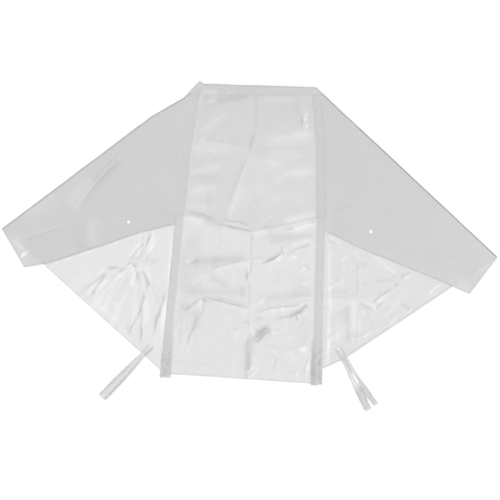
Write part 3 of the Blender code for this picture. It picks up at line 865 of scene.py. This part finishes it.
def make_pleat(side, layer):
    """A Z-fold of three plies. Its loose lower end is crumpled."""
    node = "%s_%s_pleat" % (side, layer)
    bottom, top = (corner[1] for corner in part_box(node))
    count = int((top - bottom) / SPACING)
    y = np.linspace(top, bottom, count + 1)
    inner, outer = pleat_edges(side, layer, y)
    section = pleat_section(9)
    base = FRONT_Z
    if layer == "back":
        base = BACK_CENTRE_Z - 2 * PLY_STEP
        section = [(across, 2.0 - ply) for across, ply in section]
    loose = smooth(y, LOOSE_FROM, LOOSE_TO) if layer == "front" else np.zeros(count + 1)
    inner = inner - LOOSE_SPREAD * loose * (outer - inner)
    columns = len(section)
    across = np.tile([a for a, _ in section], count + 1)
    ply = np.tile([p for _, p in section], count + 1)
    down = np.repeat(y, columns)
    slack = np.repeat(loose, columns)
    x = np.repeat(inner, columns) + np.repeat(outer - inner, columns) * across
    seed = 5 if side == "left" else 6
    x += slack * 0.0026 * noise(down * 80, ply * 3.1, seed)
    z = base + PLY_STEP * ply + slack * 0.0008 * (1 + noise(down * 90, across * 2 + ply * 5, seed + 7))
    last = np.clip((np.arange(count + 1) - count + 3) / 3, 0.0, 1.0)
    ragged = np.repeat(last, columns) * 0.006 * noise(across * 4, ply * 7.3, seed + 2)
    # The slack end gets painted mottled shade and light from its crumples and is darker overall; each pleat
    # is coloured a little lighter, the right one with a lighter stripe.
    shade = slack * (0.20 * noise(down * 90, across * 2.5 + ply * 2, seed + 4) - 0.18)
    shade += 0.12 if side == "left" else 0.05 + 0.10 * np.exp(-((across - 0.58) / 0.10) ** 2)
    verts = np.column_stack([wander(np.column_stack([x, down + ragged])), z])
    quads = [(i * columns + j, i * columns + j + 1, (i + 1) * columns + j + 1, (i + 1) * columns + j)
             for i in range(count) for j in range(columns - 1)]
    thing = film_object(node + "_film", verts, quads, shade, "film_pleat")
    thing.data.set_sharp_from_angle(angle=math.radians(35))
    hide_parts(node)
    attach(thing, "cape")
    return thing


# ---------------------------------------------------------------- shoulders
def make_shoulder(side):
    """The rounded fold where the front layer turns over into the back layer."""
    nodes = [side + "_shoulder_fold", side + "_wing_fold"]
    loops = [welded(grown(plan_loops(node)[0], SEAM_COVER), crease_line(side)) for node in nodes]
    points, triangles = sheet_mesh(loops, [], {}, SHOULDER_SPACING)
    panels = [plan_loops("%s_front_%s_panel" % (side, part))[0] for part in ("side", "wing")]
    rim = np.concatenate([np.array(stepped(loop, 0.0010, closed=True)) for loop in panels])
    out = distance_to(points, rim, 0.006) / SHOULDER_WIDTH
    round_off = np.sqrt(1.0 - np.clip((out - 0.6) / 0.4, 0.0, 1.0) ** 2)
    middle = FRONT_Z + BACK_RISE / 2 + ripples(points, 0.0004, 20)
    half = BACK_RISE / 2 + 0.0003
    flat = wander(points)
    upper = np.column_stack([flat, middle + half * round_off])
    lower = np.column_stack([flat, np.maximum(middle - half * round_off, FRONT_Z - 0.0004)])
    triangles = np.concatenate([triangles, triangles[:, ::-1] + len(points)])
    shade = SHOULDER_EDGE * smooth(out, 0.25, 0.9)
    thing = film_object(side + "_shoulder_film", np.concatenate([upper, lower]), triangles,
                        np.concatenate([shade, shade]), "film_fold")
    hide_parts(*nodes)
    turn_with_wing(thing)
    return thing


# ---------------------------------------------------------------- ties
def tie_tails(side):
    """The axis of the tie and, for each tail, the two corners of its end."""
    name = side + "_tie"
    joint = next(j for j in frame["joints"] if j["name"] == name + "_swing")
    axis = Vector(joint["pos_m"][:2])
    loop = [Vector(p) for p in plan_loops(name, top=True)[0]]
    if area_of([p[:] for p in loop]) < 0:
        loop.reverse()
    far = max((p - axis).length for p in loop) * 0.9
    start = min(range(len(loop)), key=lambda i: (loop[i] - axis).length)
    ends = [p for p in loop[start:] + loop[:start] if (p - axis).length > far]
    return axis, [(ends[0], ends[1]), (ends[2], ends[3])]


# A tie's tails: how far they lie over each other, how much darker their edges look, and for each tail its
# greatest width; then along its length its share of that width, how far it strays aside and its middle's tone
LEFT_TAIL = {"shape": [(0.0, 0.60), (0.10, 0.56), (0.20, 0.40), (0.30, 0.62), (0.50, 0.82), (0.70, 0.95)],
             "sway": [(0.5, -0.0020), (1.0, -0.0035)],
             "tone": [(0.0, 0.60), (0.15, 0.25), (0.22, 0.35), (0.30, 0.55), (0.40, 0.42), (1.0, 0.48)]}
TIES = {
    "left": {"overlap": 0.95, "edge": -0.20,
             "tails": [{"width": 0.0240, **LEFT_TAIL}, {"width": 0.0225, **LEFT_TAIL}]},
    "right": {"overlap": 0.0, "edge": -0.16, "tails": [
        {"width": 0.0205,
         "shape": [(0.0, 0.70), (0.15, 0.80), (0.30, 0.55), (0.55, 0.56), (0.63, 0.85), (0.70, 1.0)],
         "sway": [(0.3, 0.0), (0.5, -0.0030), (0.7, 0.0)],
         "tone": [(0.0, 0.80), (0.10, 0.35), (0.20, 0.0), (0.42, 0.0), (0.48, 0.40), (0.60, 0.40),
                  (0.66, -0.22)]},
        {"width": 0.0155,
         "shape": [(0.0, 0.90), (0.15, 0.90), (0.30, 0.65), (0.50, 0.42), (0.60, 0.60), (0.72, 1.10),
                   (0.84, 1.10), (0.90, 0.85), (1.0, 0.95)],
         "sway": [(0.55, 0.0), (0.75, -0.0020), (0.85, -0.0018), (0.92, 0.0)],
         "tone": [(0.0, 0.80), (0.10, 0.35), (0.20, 0.0), (0.45, 0.0), (0.55, -0.20), (1.0, -0.26)]}]},
}
# Half of a tail's section, as (share of the half width, level); its edges are rolled over onto the tail
ROLLED = [(0.24, 0.0), (0.52, 0.0), (0.86, 0.0), (0.96, 0.2),
          (1.0, 0.5), (0.96, 0.8), (0.86, 1.0), (0.46, 1.0)]
TIE_ROWS = 90
TIE_BACK, TIE_PAST = 0.0035, 0.0030             # a tail starts before the axis and ends past its CAD solid
TIE_CUT = 0.0035                                # depth of the uneven cut at a tail's end


def make_tie(side):
    """Two tails of film with rolled edges, which hang from the punched hole."""
    axis, ends = tie_tails(side)
    look = TIES[side]
    shared = sum(((right + left) / 2 for right, left in ends), Vector((0, 0))) / 2
    section = [(-across, level) for across, level in ROLLED[::-1]] + [(0.0, 0.0)] + ROLLED
    rows, columns = TIE_ROWS, len(section)
    verts, quads, shade = [], [], []
    for number, ((right, left), tail) in enumerate(zip(ends, look["tails"])):
        first = len(verts)
        ahead = ((right + left) / 2).lerp(shared, look["overlap"]) - axis
        length = ahead.length
        ahead.normalize()
        aside = Vector((-ahead.y, ahead.x))
        t = np.repeat(np.arange(rows + 1) / rows, columns)
        across, level = (np.tile(values, rows + 1) for values in zip(*section))
        inner_edge = (np.abs(across) < 0.7) & (level > 0.9)
        across = across + np.where(inner_edge, 0.16 * noise(t * 7, np.sign(across) * 3, 35 + number), 0.0)
        half = tail["width"] / 2 * np.interp(t, *zip(*tail["shape"]))
        stray = np.interp(t, *zip(*tail["sway"]))
        along = -TIE_BACK + (length + TIE_BACK + TIE_PAST) * t
        cut = TIE_CUT * across ** 2 * (1 + noise(across * 2.5, level * 3, 37 + number))
        along -= cut * smooth(t, 0.93, 1.0)
        place = np.array(axis) + np.outer(along, ahead) + np.outer(across * half + stray, aside)
        lift = 0.0012 + 0.0022 * number + 0.0012 * level + 0.0003 * (1 + noise(t * 12, across, 41 + number))
        verts += np.column_stack([place, TIE_Z + lift]).tolist()
        # The middle's tone paints the tails lighter or darker along their length; the lighter stretches are
        # partly painted highlight, and the rolled edges are darker where they hold more plies.
        tone = np.interp(t, *zip(*tail["tone"])) * smooth(np.abs(across), 0.66, 0.42)
        tone += look["edge"] * smooth(np.abs(across), 0.62, 0.92) * smooth(t, 0.1, 0.3)
        tone += 0.10 * noise(t * 9, across * 5, 43 + number)
        shade += tone.tolist()
        for i in range(rows):
            for j in range(columns - 1):
                a = first + i * columns + j
                quads.append((a, a + 1, a + columns + 1, a + columns))
    thing = film_object(side + "_tie_film", verts, quads, shade, "film_tie")
    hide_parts(side + "_tie")
    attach(thing, side + "_tie")
    return thing


# ---------------------------------------------------------------- stage
def make_stage():
    """White paper under the cape, an even sky, a soft key light and the camera straight above."""
    bpy.ops.mesh.primitive_plane_add(size=14.0, location=(0, 0, FLOOR_Z))
    floor = bpy.context.object
    floor.name = "floor"
    material = bpy.data.materials.new("floor_paper")
    material.use_nodes = True
    shader = material.node_tree.nodes["Principled BSDF"]
    shader.inputs["Base Color"].default_value = (0.9, 0.9, 0.9, 1)
    shader.inputs["Roughness"].default_value = 0.9
    shader.inputs["Specular IOR Level"].default_value = 0.0
    floor.data.materials.append(material)
    world = bpy.data.worlds.new("studio")
    bpy.context.scene.world = world
    world.use_nodes = True
    world.node_tree.nodes["Background"].inputs["Color"].default_value = (1, 1, 1, 1)
    world.node_tree.nodes["Background"].inputs["Strength"].default_value = 0.48
    for name, direction, angle, energy in (("key", (0.5, -0.4, -0.77), 25, 1.55),
                                           ("gloss", (-0.30, 0.22, -0.93), 16, 0.9)):
        lamp = bpy.data.lights.new(name, "SUN")
        lamp.angle = math.radians(angle)
        lamp.energy = energy
        thing = bpy.data.objects.new(name, lamp)
        thing.rotation_euler = Vector(direction).to_track_quat("-Z", "Y").to_euler()
        bpy.context.scene.collection.objects.link(thing)
    lens = bpy.data.cameras.new("camera")
    lens.lens = 85
    lens.sensor_width = 36
    camera = bpy.data.objects.new("camera", lens)
    camera.location = (*VIEW_CENTRE, VIEW_SPAN * lens.lens / lens.sensor_width)
    bpy.context.scene.collection.objects.link(camera)
    bpy.context.scene.camera = camera
    bpy.context.scene.view_settings.view_transform = "Standard"
    bpy.context.scene.cycles.transparent_max_bounces = 32


pleats = ["left_%s_pleat", "right_%s_pleat"]
front_pleats, back_pleats = [[name % layer for name in pleats] for layer in ("front", "back")]
neck_joins = ["left_shoulder_fold", "right_shoulder_fold"]
make_centre_sheet("front_centre_film", "front_centre_panel", ["front_neck_hem", "bottom_hem"] + front_pleats,
                  CENTRE_FRONT, FRONT_Z, "film_single", flatter=0.5)
make_centre_sheet("back_centre_film", "back_centre_panel", ["back_neck_hem"] + back_pleats,
                  CENTRE_BACK, BACK_CENTRE_Z, "film_single", strength=-0.10, tones=(0.08, 0.24))
make_centre_sheet("front_neck_film", "front_neck_hem", ["front_centre_panel"] + neck_joins + front_pleats, {},
                  FRONT_Z, "film_hem")
make_centre_sheet("back_neck_film", "back_neck_hem", ["back_centre_panel"] + neck_joins + back_pleats, NECK,
                  BACK_CENTRE_Z, "film_hem")
make_centre_sheet("bottom_hem_film", "bottom_hem", ["front_centre_panel"] + front_pleats, BOTTOM_HEM, FRONT_Z,
                  "film_single", strength=-0.32)
for side in ("left", "right"):
    for layer in ("front", "back"):
        make_side_sheet(side, layer)
        make_pleat(side, layer)
    make_shoulder(side)
    make_tie(side)
make_stage()
